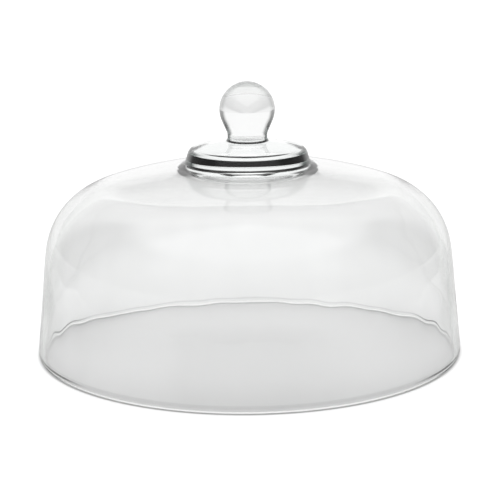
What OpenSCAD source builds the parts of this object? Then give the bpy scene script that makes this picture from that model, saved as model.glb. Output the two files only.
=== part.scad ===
// Clear glass food cover: a bell-shaped dome that carries a thick collar and a ball knob on its crown.
// Millimetres, +Z up. The origin is the centre of the rim, on the plane that the cover rests on.
// Every piece is a turned form, so each is one half outline revolved about the Z axis.

/* [Rim] */
// Outside diameter of the rim
rim_d = 286; // [250:1:330]
// Thickness of the wall at the rim
rim_wall = 4; // [3.4:0.1:7]
// Height of the upright band between the rim's seat and the leaning wall
rim_band_h = 3.5; // [2:0.1:10]
// Radius of the two fire-polished edges of the rim; the flat seat lies between them
rim_round = 1.6; // [0.4:0.1:1.9]

/* [Dome] */
// Inward lean of the wall's outer face, in degrees
wall_lean = 6; // [3:0.1:9]
// Extra lean of the wall's inner face at its foot, in degrees
inner_draft = 0; // [0:0.1:4]
// Height at which the wall's inner face starts to sweep inwards, which thickens the wall upwards
sweep_z = 28; // [15:1:45]
// Radius of the inward sweep of the wall's inner face
sweep_r = 530; // [400:10:800]
// Radius of the shoulder's outer bend
shoulder_r = 49; // [36:0.5:62]
// How much tighter the shoulder's inner bend is than its outer one
shoulder_step = 5; // [2:0.5:9]
// Radius of the crown's outer face
crown_r = 340; // [260:5:480]
// How much tighter the crown's inner face is than its outer one; below zero it is flatter
crown_step = -50; // [-60:1:20]
// Height of the crown's outer face at the axis, before the collar's seat is ground flat
crown_h = 127.6; // [110:0.2:150]
// Thickness of the crown at the axis, before the seat is ground flat
crown_wall = 8.6; // [5:0.1:10]

/* [Collar] */
// Diameter of the collar's foot, where it is welded to the crown
foot_d = 94; // [90:0.5:110]
// Diameter of the collar where its side runs into the hollow flare of the foot
side_d = 82.2; // [70:0.2:86]
// Height of the hollow flare above the foot
flare_h = 4.4; // [3:0.2:8]
// Height above the foot at which the side, run on downwards, would meet the flare's slope at the foot
flare_turn_h = 1.1; // [1:0.1:2.8]
// Inward lean of the collar's side, in degrees
side_lean = 17; // [8:1:26]
// Radius of the collar's rounded top edge
edge_r = 5.6; // [2:0.1:6]
// Radius of the collar's gently domed top face
top_r = 150; // [120:5:400]
// Height of the collar from its foot to the apex of its top face
collar_h = 16.6; // [13:0.1:20]

/* [Knob] */
// Diameter of the neck between the collar and the ball
neck_d = 26.4; // [20:0.2:30]
// Radius of the hollow at the foot of the neck
neck_fillet = 3; // [0.5:0.1:5]
// Height of the straight neck
neck_h = 2.8; // [1:0.2:12]
// Outward lean of the cone under the ball, in degrees
cone_lean = 23.6; // [15:0.2:32]
// Diameter of the ball
ball_d = 36.8; // [33:0.2:48]

/* [Hidden] */
$fn = 180;

// Largest distance between a round stretch of an outline and its chords
chord_error = 0.02;
// Number of chords along the collar's hollow flare
hollow_steps = 8;
glass = [0.85, 0.89, 0.88, 0.5];

rim_r = rim_d/2;
inner_r = rim_r - rim_wall;
foot_r = foot_d/2;
side_r = side_d/2;
neck_r = neck_d/2;
boss_r = neck_r + neck_fillet;
ball_r = ball_d/2;

// Weld seats, both flat and level: the collar's foot on the crown, and the neck on the collar
seat_z = cap_height(crown_r, crown_h, foot_r);
neck_z = cap_height(top_r, seat_z + collar_h, boss_r) + neck_fillet;

// Hollow flare of the collar, from the foot's edge up to the side, which it meets without a corner
foot_edge = [foot_r, seat_z];
side_foot = [side_r, seat_z + flare_h];
flare_corner = side_foot + (flare_h - flare_turn_h)*[tan(side_lean), -1];

// Cone under the ball, tangent to it
cone_z = neck_z + neck_h;
touch_r = ball_r*cos(cone_lean);
ball_z = cone_z + (touch_r - neck_r)/tan(cone_lean) + ball_r*sin(cone_lean);

// Direction in an outline's plane, by its angle above the radius
function heading(angle) = [cos(angle), sin(angle)];

// Height, at the radius given, of a round cap with its apex on the axis
function cap_height(cap_r, apex_z, radius) = apex_z - cap_r + sqrt(cap_r*cap_r - radius*radius);

// Points along a round stretch, without the first, which ends the stretch before
function arc(centre, radius, from, to) =
    let (steps = ceil(abs(to - from)/(2*acos(1 - chord_error/radius))))
    [for (i = [1:steps]) centre + radius*heading(from + (to - from)*i/steps)];

// Points along a hollow that touches, at its two ends, the lines towards the corner, without the first
function hollow(from, corner, to) =
    [for (i = [1:hollow_steps]) let (t = i/hollow_steps)
        (1 - t)*(1 - t)*from + 2*t*(1 - t)*corner + t*t*to];

// Centre of the bend that runs tangent from a leaning wall into a round cap
function bend_centre(foot, lean, bend_r, cap_r, apex_z) =
    let (
        start = foot - bend_r*heading(lean),
        reach = start - [0, apex_z - cap_r],
        upward = heading(lean + 90),
        along = reach*upward,
        spare = reach*reach - pow(cap_r - bend_r, 2)
    )
    start + (sqrt(along*along - spare) - along)*upward;

// Points up a bell from its foot, without the foot: a leaning wall, a bend and a round cap,
// each tangent to the next, with the cap drawn in as far as end_r
function bell(foot, lean, bend_r, cap_r, apex_z, end_r = 0) =
    let (
        cap_centre = [0, apex_z - cap_r],
        centre = bend_centre(foot, lean, bend_r, cap_r, apex_z),
        join_angle = atan2(centre.y - cap_centre.y, centre.x)
    )
    concat(
        [centre + bend_r*heading(lean)],
        arc(centre, bend_r, lean, join_angle),
        arc(cap_centre, cap_r, join_angle, acos(end_r/cap_r))
    );

// Points up a bell whose wall sweeps inwards in a wide arc, from the straight foot to the bend,
// without the foot
function swept_bell(foot, lean, wide_z, wide_r, bend_r, cap_r, apex_z) =
    let (
        wide_foot = foot + (wide_z - foot.y)*[-tan(lean), 1],
        wide_centre = wide_foot - wide_r*heading(lean),
        cap_centre = [0, apex_z - cap_r],
        apart = cap_centre - wide_centre,
        ahead = apart/norm(apart),
        reach = wide_r - bend_r,
        along = (reach*reach - pow(cap_r - bend_r, 2) + apart*apart)/(2*norm(apart)),
        across = sqrt(reach*reach - along*along),
        centre = wide_centre + along*ahead + across*[-ahead.y, ahead.x],
        bend_angle = atan2(centre.y - wide_centre.y, centre.x - wide_centre.x),
        join_angle = atan2(centre.y - cap_centre.y, centre.x)
    )
    concat(
        [wide_foot],
        arc(wide_centre, wide_r, lean, bend_angle),
        arc(centre, bend_r, bend_angle, join_angle),
        arc(cap_centre, cap_r, join_angle, 90)
    );

// The same points in the other order
function reversed(points) = [for (i = [len(points) - 1:-1:0]) points[i]];

// Bell-shaped dome, open below, thin at the rim and thicker towards the shoulder and crown
module dome_shell() {
    outer_foot = [rim_r, rim_band_h];
    inner_foot = [inner_r, rim_band_h];
    inner = swept_bell(inner_foot, wall_lean + inner_draft, sweep_z, sweep_r,
        shoulder_r - shoulder_step, crown_r - crown_step, crown_h - crown_wall);
    color(glass) rotate_extrude() polygon(concat(
        [[rim_r - rim_round, 0]],
        arc([rim_r - rim_round, rim_round], rim_round, -90, 0),
        [outer_foot],
        bell(outer_foot, wall_lean, shoulder_r, crown_r, crown_h, foot_r),
        [[0, seat_z]],
        reversed(inner),
        [inner_foot, [inner_r, rim_round]],
        arc([inner_r + rim_round, rim_round], rim_round, 180, 270)
    ));
}

// Solid collar, welded to the flat on the crown
module knob_collar() {
    color(glass) rotate_extrude() polygon(concat(
        [[0, seat_z], foot_edge],
        hollow(foot_edge, flare_corner, side_foot),
        bell(side_foot, side_lean, edge_r, top_r, seat_z + collar_h, boss_r),
        arc([boss_r, neck_z], neck_fillet, 270, 180),
        [[0, neck_z]]
    ));
}

// Solid ball on a short neck, welded to the collar
module ball_knob() {
    color(glass) rotate_extrude() polygon(concat(
        [[0, neck_z], [neck_r, neck_z], [neck_r, cone_z]],
        [[touch_r, ball_z - ball_r*sin(cone_lean)]],
        arc([0, ball_z], ball_r, -cone_lean, 90)
    ));
}

dome_shell();
knob_collar();
ball_knob();
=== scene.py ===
"""Clear glass food cover on a white table: a bell-shaped dome, a thick collar and a ball knob.

Each glass piece is turned about Z from the sizes of the solids, in metres, and stands for its node.
An outline is a list of (material index, points) stretches, whose points are (radius, height).
"""

import math

import bmesh
import bpy
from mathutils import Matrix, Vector


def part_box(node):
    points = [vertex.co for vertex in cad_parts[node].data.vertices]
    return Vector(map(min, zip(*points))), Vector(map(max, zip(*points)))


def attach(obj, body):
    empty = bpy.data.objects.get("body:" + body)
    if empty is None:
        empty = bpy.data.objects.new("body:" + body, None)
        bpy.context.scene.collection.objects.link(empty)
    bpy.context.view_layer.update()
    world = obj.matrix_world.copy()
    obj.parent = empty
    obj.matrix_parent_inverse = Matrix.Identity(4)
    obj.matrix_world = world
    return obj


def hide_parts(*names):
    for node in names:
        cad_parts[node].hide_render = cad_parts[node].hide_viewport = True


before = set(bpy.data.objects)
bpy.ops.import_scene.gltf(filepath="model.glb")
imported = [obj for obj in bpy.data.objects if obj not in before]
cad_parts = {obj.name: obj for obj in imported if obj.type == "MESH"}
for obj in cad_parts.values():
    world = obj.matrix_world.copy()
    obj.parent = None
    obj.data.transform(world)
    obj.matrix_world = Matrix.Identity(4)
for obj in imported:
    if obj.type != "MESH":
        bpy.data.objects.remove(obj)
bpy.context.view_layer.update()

MM = 0.001

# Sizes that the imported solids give
_, dome_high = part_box("dome_shell")
collar_low, collar_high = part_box("knob_collar")
knob_low, knob_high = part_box("ball_knob")
RIM_R = dome_high.x
SEAT_Z = collar_low.z
FOOT_R = collar_high.x
NECK_Z = knob_low.z
BALL_R = knob_high.x
BALL_Z = knob_high.z - BALL_R

# Sizes of the dome that its box doesn't show
RIM_WALL = 4 * MM
RIM_BAND_H = 3.5 * MM
RIM_ROUND = 1.6 * MM
WALL_LEAN = math.radians(6)
SWEEP_Z = 28 * MM
SWEEP_R = 530 * MM
SHOULDER_R = 49 * MM
CROWN_R = 340 * MM
INNER_CROWN_R = 390 * MM
CROWN_WALL = 8.6 * MM

# Wider than in the solid, where the inner bend makes a dark spot in what is seen through the glass
INNER_SHOULDER_R = 46.5 * MM

# Sizes of the collar and the knob that their boxes don't show
SIDE_R = 41.1 * MM
FLARE_H = 4.4 * MM
FLARE_TURN_H = 1.1 * MM
SIDE_LEAN = math.radians(17)
EDGE_R = 5.6 * MM
TOP_R = 150 * MM
NECK_R = 13.2 * MM
NECK_FILLET = 3 * MM
NECK_H = 2.8 * MM
CONE_LEAN = math.radians(23.6)

# Only in the scene: how far the corner between the neck and the cone is softened to each side
CONE_SOFTENING = 1.5 * MM

# Brightness around the cover: a white screen behind, light in front and above, a dim room between them.
# An edge is where a light starts and where it is full, as a cosine of its bearing or a sine of its height
SCREEN = 1.0
SCREEN_EDGE = (math.cos(math.radians(55)), math.cos(math.radians(38)))
FRONT = 1.0
FRONT_BEARING_EDGE = (math.cos(math.radians(75)), math.cos(math.radians(50)))
FRONT_LOW_EDGE = (0.0, math.sin(math.radians(32)))
OVERHEAD = 1.4
OVERHEAD_EDGE = (math.sin(math.radians(42)), math.sin(math.radians(58)))
ROOM = 0.4

# Every fade below is (from, to, value at from, value at to)

# Table: its colour from the middle to the sides, greyer at the sides as painted shade, and what colour and
# glow add up to for the camera
FLOOR_SIZE = 8.0
FLOOR_DROP = 0.3 * MM
TABLE_SIDE_SHADE = (0.12, 0.42, 0.6, 0.53)
TABLE_WHITE = 1.2

# Glow that the glass shows: everywhere, in a pool that narrows behind the cover, in a band along the back
# of the rim, under the sides of the dome and on the far sides of the table
GLOW = 0.23
POOL_GLOW = 0.08
POOL_SLOPE = 3.6
POOL_FADE = (0.7, 0.98, 1.0, 0.0)
BACK_GLOW_Y = 0.115
BACK_GLOW_FADE = (0.01, 0.11, 0.11, 0.0)
BACK_GLOW_WIDTH = (0.04, 0.13, 1.0, 0.0)
SIDE_GLOW_FADE = (0.025, 0.09, 0.0, 0.07)
INSIDE_FADE = (0.125, 0.138, 1.0, 0.0)
FAR_GLOW_FADE = (0.4, 0.8, 0.0, 0.16)
FAR_FADE = (0.4, 0.8, 0.0, 1.0)

# Shade line under the rim, by the distance from it, and deeper in front than behind
CONTACT_R = 140.7 * MM
CONTACT_FADE = (1.4 * MM, 4.6 * MM, 1.0, 0.0)
CONTACT_DEPTH_FADE = (-0.08, 0.04, 0.72, 0.2)

# Colours of the glass, face on and at its edges, and where the edge colour starts, from face on to edge on
GLASS_IOR = 1.51
DOME_TINT = (0.991, 0.995, 0.993)
DOME_EDGE = (0.68, 0.7, 0.68)
DOME_EDGE_FADE = (0.58, 0.9, 0.0, 1.0)
COLLAR_TINT = (0.955, 0.975, 0.968)
COLLAR_EDGE = (0.03, 0.042, 0.038)
COLLAR_EDGE_FADE = (0.34, 0.56, 0.0, 1.0)
KNOB_TINT = (0.985, 0.99, 0.987)
KNOB_EDGE = (0.02, 0.027, 0.025)
KNOB_EDGE_FADE = (0.36, 0.62, 0.0, 1.0)

# The edge colour counts less on level faces and on the upper half of the ball
LEVEL_FADE = (0.6, 0.92)
EDGE_HEIGHT_FADE = (152 * MM, 166 * MM, 1.0, 0.4)

# Faint streaks in the glass, and a painted shade line along the rim's crease, deeper where it is seen edge
# on
STREAK_SCALE = (60.0, 60.0, 14.0)
STREAK_FADE = (0.3, 0.7, 0.99, 1.0)
CREASE_SHADE_FADE = (0.3 * MM, 0.9 * MM, 1.0, 0.0)
CREASE_SHADE_DEPTH_FADE = (0.36, 0.56, 0.13, 0.95)

# Chill waves of the dome's inner face: waves around, height, phases around and upwards, depth
WAVES = (
    (13, 52 * MM, 0.7, 1.1, 0.030 * MM),
    (22, 34 * MM, 2.4, 0.2, 0.022 * MM),
    (31, 27 * MM, 5.1, 2.6, 0.016 * MM),
    (43, 21 * MM, 1.3, 4.0, 0.008 * MM),
    (37, 70 * MM, 0.4, 0.0, 0.045 * MM),
)
WAVES_FROM = 8 * MM
WAVES_TO = 96 * MM

# Fineness of the turned meshes
SEGMENTS = 304
LONGEST_STEP = 1.6 * MM
WIDEST_STEP = math.radians(3)
HOLLOW_STEPS = 10
EASING_PASSES = 30
ON_AXIS = 1e-7

# Places of a piece's materials
GLASS = 0
WELD = 1

# Camera of the photograph, fitted to the outline of the cover
CAMERA_ELEVATION = math.radians(13.5)
CAMERA_DISTANCE = 1.0
CAMERA_TARGET = Vector((0.94 * MM, 0, 65.9 * MM))
CAMERA_ROLL = math.radians(-0.6)
CAMERA_LENS = 106.6
CAMERA_SENSOR = 36


def heading(angle):
    """Direction in an outline's plane, by its angle above the radius."""
    return Vector((math.cos(angle), math.sin(angle)))


def cap_drop(cap_r, radius):
    """How far a round cap falls from its apex to the radius given."""
    return cap_r - math.sqrt(cap_r**2 - radius**2)


def line(start, end):
    """Points along a straight stretch, without the first."""
    steps = math.ceil((end - start).length / LONGEST_STEP)
    return [start.lerp(end, i / steps) for i in range(1, steps + 1)]


def arc(centre, radius, start, end):
    """Points along a round stretch, without the first."""
    turn = abs(end - start)
    steps = max(math.ceil(turn / WIDEST_STEP), math.ceil(turn * radius / LONGEST_STEP))
    return [centre + radius * heading(start + (end - start) * i / steps) for i in range(1, steps + 1)]


def hollow(start, corner, end):
    """Points along a hollow that touches, at its ends, the lines towards the corner, without the first."""
    places = [i / HOLLOW_STEPS for i in range(1, HOLLOW_STEPS + 1)]
    return [(1 - t) ** 2 * start + 2 * t * (1 - t) * corner + t**2 * end for t in places]


def bell(foot, lean, bend_r, cap_r, apex_z, end_r=0.0):
    """Points up a bell from its foot, without the foot: a leaning wall, a bend and a round cap."""
    cap_centre = Vector((0, apex_z - cap_r))
    start = foot - bend_r * heading(lean)
    upward = heading(lean + math.pi / 2)
    reach = start - cap_centre
    along = reach.dot(upward)
    spare = reach.dot(reach) - (cap_r - bend_r) ** 2
    centre = start + (math.sqrt(along**2 - spare) - along) * upward
    join = math.atan2(centre.y - cap_centre.y, centre.x)
    return (
        line(foot, centre + bend_r * heading(lean))
        + arc(centre, bend_r, lean, join)
        + arc(cap_centre, cap_r, join, math.acos(end_r / cap_r))
    )


def swept_bell(foot, lean, sweep_z, sweep_r, bend_r, cap_r, apex_z):
    """The same, but the wall sweeps inwards in a wide arc between its straight foot and the bend."""
    sweep_foot = foot + (sweep_z - foot.y) * Vector((-math.tan(lean), 1))
    sweep_centre = sweep_foot - sweep_r * heading(lean)
    cap_centre = Vector((0, apex_z - cap_r))
    apart = cap_centre - sweep_centre
    reach = sweep_r - bend_r
    along = (reach**2 - (cap_r - bend_r) ** 2 + apart.dot(apart)) / (2 * apart.length)
    across = math.sqrt(reach**2 - along**2)
    ahead = apart.normalized()
    bend_centre = sweep_centre + along * ahead + across * Vector((-ahead.y, ahead.x))
    start = math.atan2(bend_centre.y - sweep_centre.y, bend_centre.x - sweep_centre.x)
    join = math.atan2(bend_centre.y - cap_centre.y, bend_centre.x)
    return (
        line(foot, sweep_foot)
        + arc(sweep_centre, sweep_r, lean, start)
        + arc(bend_centre, bend_r, start, join)
        + arc(cap_centre, cap_r, join, math.pi / 2)
    )


def eased(points):
    """The same points with the joins of their arcs eased, so that reflections run on without a break."""
    for _ in range(EASING_PASSES):
        neighbours = zip(points, points[1:], points[2:])
        between = [(before + 2 * point + after) / 4 for before, point, after in neighbours]
        points = [points[0], *between, points[-1]]
    return points


def chill_waves(point, angle):
    """Shallow waves that the mould leaves on the inner face, none at the rim and none at the crown."""
    part = (point.y - WAVES_FROM) / (WAVES_TO - WAVES_FROM)
    if not 0 < part < 1:
        return 0
    waves = [
        depth * math.cos(count * angle + turn) * math.cos(2 * math.pi * point.y / height + rise)
        for count, height, turn, rise, depth in WAVES
    ]
    return math.sin(math.pi * part) * sum(waves)


def turned(name, outline, waves_from=None):
    """Turns an outline about Z, with sharp edges where its stretches meet.

    The outline is wavy from the point whose place in it is given.
    """
    points = [outline[0][1][0]]
    slots = []
    corners = set()
    for slot, stretch in outline:
        corners.add(len(points) - 1)
        points += stretch[1:]
        slots += [slot] * (len(stretch) - 1)

    mesh = bmesh.new()
    rings = []
    for i, point in enumerate(points):
        if point.x < ON_AXIS:
            rings.append([mesh.verts.new((0, 0, point.y))] * SEGMENTS)
            continue
        along = (points[min(i + 1, len(points) - 1)] - points[i - 1]).normalized()
        outward = Vector((-along.y, along.x))
        wavy = waves_from is not None and i > waves_from
        ring = []
        for j in range(SEGMENTS):
            angle = 2 * math.pi * j / SEGMENTS
            place = point + outward * chill_waves(point, angle) if wavy else point
            ring.append(mesh.verts.new((place.x * math.cos(angle), place.x * math.sin(angle), place.y)))
        rings.append(ring)

    for i, slot in enumerate(slots):
        for j in range(SEGMENTS):
            k = (j + 1) % SEGMENTS
            loop = [rings[i][j], rings[i][k], rings[i + 1][k], rings[i + 1][j]]
            face = mesh.faces.new(list(dict.fromkeys(loop)))
            face.smooth = True
            face.material_index = slot
            if i in corners and rings[i][j] != rings[i][k]:
                mesh.edges.get((rings[i][j], rings[i][k])).smooth = False
    bmesh.ops.recalc_face_normals(mesh, faces=mesh.faces)

    data = bpy.data.meshes.new(name)
    mesh.to_mesh(data)
    mesh.free()
    piece = bpy.data.objects.new(name, data)
    bpy.context.scene.collection.objects.link(piece)
    return piece


def dome_outline():
    """The weld seat, then one stretch of glass down the outside, round the rim and up the inside.

    With it comes the place of the point where the inner face starts.
    """
    crown_apex = SEAT_Z + cap_drop(CROWN_R, FOOT_R)
    outer_foot = Vector((RIM_R, RIM_BAND_H))
    inner_foot = Vector((RIM_R - RIM_WALL, RIM_BAND_H))
    outer_round = Vector((RIM_R - RIM_ROUND, RIM_ROUND))
    inner_round = Vector((RIM_R - RIM_WALL + RIM_ROUND, RIM_ROUND))
    outer = [outer_foot] + bell(outer_foot, WALL_LEAN, SHOULDER_R, CROWN_R, crown_apex, FOOT_R)
    inner_apex = crown_apex - CROWN_WALL
    inner = swept_bell(
        inner_foot, WALL_LEAN, SWEEP_Z, SWEEP_R, INNER_SHOULDER_R, INNER_CROWN_R, inner_apex
    )
    rim = (
        [Vector((RIM_R, RIM_ROUND))]
        + arc(outer_round, RIM_ROUND, 0, -math.pi / 2)
        + [Vector((inner_round.x, 0))]
        + arc(inner_round, RIM_ROUND, -math.pi / 2, -math.pi)
        + [inner_foot]
    )
    outline = [
        (WELD, [Vector((0, SEAT_Z)), Vector((FOOT_R, SEAT_Z))]),
        (GLASS, eased(outer)[::-1] + rim + eased([inner_foot] + inner)[1:]),
    ]
    return outline, 1 + len(outer) + len(rim)


def collar_outline():
    """The weld seat, the flared and rounded glass, and the seat of the knob."""
    foot = Vector((FOOT_R, SEAT_Z))
    side_foot = Vector((SIDE_R, SEAT_Z + FLARE_H))
    corner = side_foot + (FLARE_H - FLARE_TURN_H) * Vector((math.tan(SIDE_LEAN), -1))
    boss_r = NECK_R + NECK_FILLET
    apex_z = NECK_Z - NECK_FILLET + cap_drop(TOP_R, boss_r)
    glass = (
        [foot]
        + hollow(foot, corner, side_foot)
        + bell(side_foot, SIDE_LEAN, EDGE_R, TOP_R, apex_z, boss_r)
        + arc(Vector((boss_r, NECK_Z)), NECK_FILLET, -math.pi / 2, -math.pi)
    )
    return [
        (WELD, [Vector((0, SEAT_Z)), foot]),
        (GLASS, glass),
        (WELD, [glass[-1], Vector((0, NECK_Z))]),
    ]


def knob_outline():
    """The weld seat, then the neck, the cone that leaves it softly, and the ball."""
    neck_foot = Vector((NECK_R, NECK_Z))
    neck_top = Vector((NECK_R, NECK_Z + NECK_H))
    touch = Vector((0, BALL_Z)) + BALL_R * heading(-CONE_LEAN)
    neck_end = neck_top - Vector((0, CONE_SOFTENING))
    cone_start = neck_top + CONE_SOFTENING * (touch - neck_top).normalized()
    glass = (
        [neck_foot]
        + line(neck_foot, neck_end)
        + hollow(neck_end, neck_top, cone_start)
        + line(cone_start, touch)
        + arc(Vector((0, BALL_Z)), BALL_R, -CONE_LEAN, math.pi / 2)
    )
    return [
        (WELD, [Vector((0, NECK_Z)), neck_foot]),
        (GLASS, glass),
    ]


class Nodes:
    """Node tree of a material or of the world, with short ways to add to it."""

    def __init__(self, owner):
        owner.use_nodes = True
        self.tree = owner.node_tree

    def add(self, kind, **settings):
        """A new node with its settings."""
        node = self.tree.nodes.new("ShaderNode" + kind)
        for name, value in settings.items():
            setattr(node, name, value)
        return node

    def feed(self, socket, value):
        """Links a node's output to the socket, or sets a plain value there."""
        if isinstance(value, bpy.types.NodeSocket):
            self.tree.links.new(value, socket)
        else:
            socket.default_value = value

    def number(self, operation, *values):
        """Result of one step of arithmetic."""
        node = self.add("Math", operation=operation)
        for socket, value in zip(node.inputs, values):
            self.feed(socket, value)
        return node.outputs[0]

    def vector(self, operation, *values):
        """Node for one step of vector arithmetic."""
        node = self.add("VectorMath", operation=operation)
        for socket, value in zip(node.inputs, values):
            self.feed(socket, value)
        return node

    def split(self, vector):
        """The X, Y and Z of a vector."""
        node = self.add("SeparateXYZ")
        self.feed(node.inputs[0], vector)
        return node.outputs

    def fade(self, value, low, high, start, end):
        """Goes softly from start to end, while the value goes from low to high."""
        node = self.add("MapRange", interpolation_type="SMOOTHSTEP")
        names = ("Value", "From Min", "From Max", "To Min", "To Max")
        for name, setting in zip(names, (value, low, high, start, end)):
            self.feed(node.inputs[name], setting)
        return node.outputs["Result"]

    def mix(self, part, first, second):
        """A colour between two colours."""
        node = self.add("MixRGB")
        for socket, value in zip(node.inputs, (part, first, second)):
            self.feed(socket, value)
        return node.outputs[0]


def glass_material(name, tint, edge, edge_fade, level_edge):
    """Polished glass with faint streaks, darker where it is seen edge on, and with a painted shade line
    along the rim's crease.

    On level faces the edge colour counts by the share given.
    """
    material = bpy.data.materials.new(name)
    nodes = Nodes(material)
    place = nodes.add("TexCoord").outputs
    height = nodes.split(place["Object"])["Z"]
    facing = nodes.add("LayerWeight").outputs["Facing"]

    level = nodes.number("ABSOLUTE", nodes.split(place["Normal"])["Z"])
    upright = nodes.fade(level, *LEVEL_FADE, 1.0, level_edge)
    share = nodes.number("MULTIPLY", upright, nodes.fade(height, *EDGE_HEIGHT_FADE))
    edge_part = nodes.number("MULTIPLY", nodes.fade(facing, *edge_fade), share)
    colour = nodes.mix(edge_part, (*tint, 1), (*edge, 1))

    noise = nodes.add("TexNoise")
    stretched = nodes.vector("MULTIPLY", place["Object"], STREAK_SCALE).outputs[0]
    nodes.feed(noise.inputs["Vector"], stretched)
    nodes.feed(noise.inputs["Scale"], 1.0)
    streak = nodes.fade(noise.outputs["Fac"], *STREAK_FADE)

    # Painted shade: a dark line along the rim's crease, deeper where it is seen edge on
    from_crease = nodes.number("ABSOLUTE", nodes.number("SUBTRACT", height, RIM_BAND_H))
    crease = nodes.fade(from_crease, *CREASE_SHADE_FADE)
    dark = nodes.number("MULTIPLY", crease, nodes.fade(facing, *CREASE_SHADE_DEPTH_FADE))
    clear = nodes.number("MULTIPLY", streak, nodes.number("SUBTRACT", 1.0, dark))

    shader = nodes.tree.nodes["Principled BSDF"]
    nodes.feed(shader.inputs["Base Color"], nodes.mix(clear, (0, 0, 0, 1), colour))
    nodes.feed(shader.inputs["Roughness"], 0.0)
    nodes.feed(shader.inputs["IOR"], GLASS_IOR)
    nodes.feed(shader.inputs["Transmission Weight"], 1.0)
    return material


def weld_material():
    """Fused glass, where light passes from one piece into the next without a surface."""
    material = bpy.data.materials.new("fused_weld")
    nodes = Nodes(material)
    nodes.tree.nodes.remove(nodes.tree.nodes["Principled BSDF"])
    surface = nodes.tree.nodes["Material Output"].inputs["Surface"]
    nodes.feed(surface, nodes.add("BsdfTransparent").outputs[0])
    return material


def floor_material():
    """Matt table, greyer at its sides as painted shade, with a painted shade line under the rim and a glow
    that the glass shows.

    The camera sees it as white.
    """
    material = bpy.data.materials.new("white_table")
    nodes = Nodes(material)
    spot = nodes.add("TexCoord").outputs["Object"]
    place = nodes.split(spot)
    radius = nodes.vector("LENGTH", spot).outputs["Value"]
    side = nodes.number("ABSOLUTE", place["X"])

    def from_line(value, middle):
        return nodes.number("ABSOLUTE", nodes.number("SUBTRACT", value, middle))

    near_rim = nodes.fade(from_line(radius, CONTACT_R), *CONTACT_FADE)
    shade = nodes.number("MULTIPLY", near_rim, nodes.fade(place["Y"], *CONTACT_DEPTH_FADE))
    unshaded = nodes.number("SUBTRACT", 1.0, shade)
    # Painted shade: the table greys towards its sides, and darkens along the shade line under the rim
    white = nodes.number("MULTIPLY", nodes.fade(side, *TABLE_SIDE_SHADE), unshaded)

    narrowing = nodes.number("MULTIPLY_ADD", side, POOL_SLOPE, place["Y"])
    from_back = from_line(place["Y"], BACK_GLOW_Y)
    glow = GLOW
    for strength, where in (
        (POOL_GLOW, nodes.fade(narrowing, *POOL_FADE)),
        (nodes.fade(from_back, *BACK_GLOW_FADE), nodes.fade(side, *BACK_GLOW_WIDTH)),
        (nodes.fade(side, *SIDE_GLOW_FADE), nodes.fade(radius, *INSIDE_FADE)),
        (nodes.fade(side, *FAR_GLOW_FADE), nodes.fade(place["Y"], *FAR_FADE)),
    ):
        glow = nodes.number("MULTIPLY_ADD", strength, where, glow)

    path = nodes.add("LightPath").outputs
    in_glass = nodes.number("MAXIMUM", path["Is Glossy Ray"], path["Is Transmission Ray"])
    missing_white = nodes.number("SUBTRACT", TABLE_WHITE, white)
    for_camera = nodes.number("MULTIPLY", path["Is Camera Ray"], missing_white)
    light = nodes.number("MULTIPLY_ADD", in_glass, glow, for_camera)

    shader = nodes.tree.nodes["Principled BSDF"]
    nodes.feed(shader.inputs["Base Color"], white)
    nodes.feed(shader.inputs["Roughness"], 1.0)
    nodes.feed(shader.inputs["Specular IOR Level"], 0.0)
    nodes.feed(shader.inputs["Emission Color"], (1, 1, 1, 1))
    nodes.feed(shader.inputs["Emission Strength"], nodes.number("MULTIPLY", light, unshaded))
    return material


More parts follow.
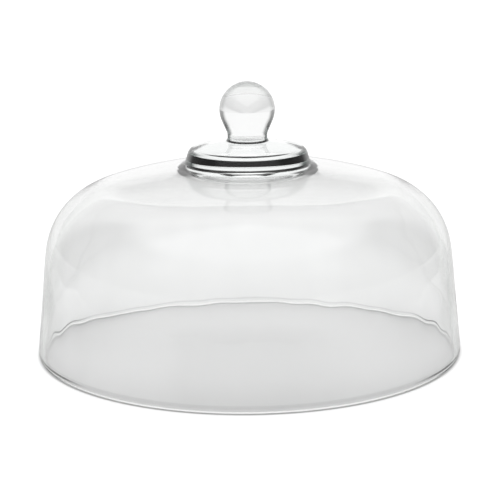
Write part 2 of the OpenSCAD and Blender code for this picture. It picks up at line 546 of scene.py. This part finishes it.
def studio_light():
    """White screen behind the cover, light in front and above, and a dim room that edges the glass.

    The camera sees plain white.
    """
    world = bpy.data.worlds.new("studio")
    bpy.context.scene.world = world
    nodes = Nodes(world)
    direction = nodes.add("TexCoord").outputs["Generated"]
    level = nodes.vector("MULTIPLY", direction, (1, 1, 0)).outputs[0]
    bearing = nodes.split(nodes.vector("NORMALIZE", level).outputs[0])
    height = nodes.split(direction)["Z"]
    towards_front = nodes.number("MULTIPLY", bearing["Y"], -1.0)
    front_light = nodes.fade(height, *FRONT_LOW_EDGE, ROOM, FRONT)
    front = nodes.fade(towards_front, *FRONT_BEARING_EDGE, ROOM, front_light)
    around = nodes.fade(bearing["Y"], *SCREEN_EDGE, front, SCREEN)
    light = nodes.fade(height, *OVERHEAD_EDGE, around, OVERHEAD)
    for_camera = nodes.add("LightPath").outputs["Is Camera Ray"]
    background = nodes.tree.nodes["Background"]
    nodes.feed(background.inputs["Color"], nodes.fade(for_camera, 0.0, 1.0, light, 1.0))


def floor():
    """Wide white floor, a hair below the rim's seat."""
    bpy.ops.mesh.primitive_plane_add(size=FLOOR_SIZE, location=(0, 0, -FLOOR_DROP))
    sheet = bpy.context.object
    sheet.name = "floor"
    sheet.data.materials.append(floor_material())


def camera():
    """Camera of the photograph, in front of the cover and a little above it."""
    data = bpy.data.cameras.new("camera")
    data.sensor_width = CAMERA_SENSOR
    data.lens = CAMERA_LENS
    eye = bpy.data.objects.new("camera", data)
    away = Vector((0, -math.cos(CAMERA_ELEVATION), math.sin(CAMERA_ELEVATION)))
    eye.location = CAMERA_TARGET + CAMERA_DISTANCE * away
    eye.rotation_euler = away.to_track_quat("Z", "Y").to_euler()
    eye.rotation_euler.rotate_axis("Z", CAMERA_ROLL)
    bpy.context.scene.collection.objects.link(eye)
    bpy.context.scene.camera = eye


bpy.context.scene.view_settings.view_transform = "Standard"
weld = weld_material()
dome_glass = glass_material("dome_glass", DOME_TINT, DOME_EDGE, DOME_EDGE_FADE, level_edge=0.0)
collar_glass = glass_material("collar_glass", COLLAR_TINT, COLLAR_EDGE, COLLAR_EDGE_FADE, level_edge=0.0)
knob_glass = glass_material("knob_glass", KNOB_TINT, KNOB_EDGE, KNOB_EDGE_FADE, level_edge=1.0)
bell_outline, inner_face = dome_outline()
for node, outline, waves_from, glass in (
    ("dome_shell", bell_outline, inner_face, dome_glass),
    ("knob_collar", collar_outline(), None, collar_glass),
    ("ball_knob", knob_outline(), None, knob_glass),
):
    piece = turned(node + "_glass", outline, waves_from)
    piece.data.materials.append(glass)
    piece.data.materials.append(weld)
    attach(piece, "root")
    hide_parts(node)

floor()
studio_light()
camera()
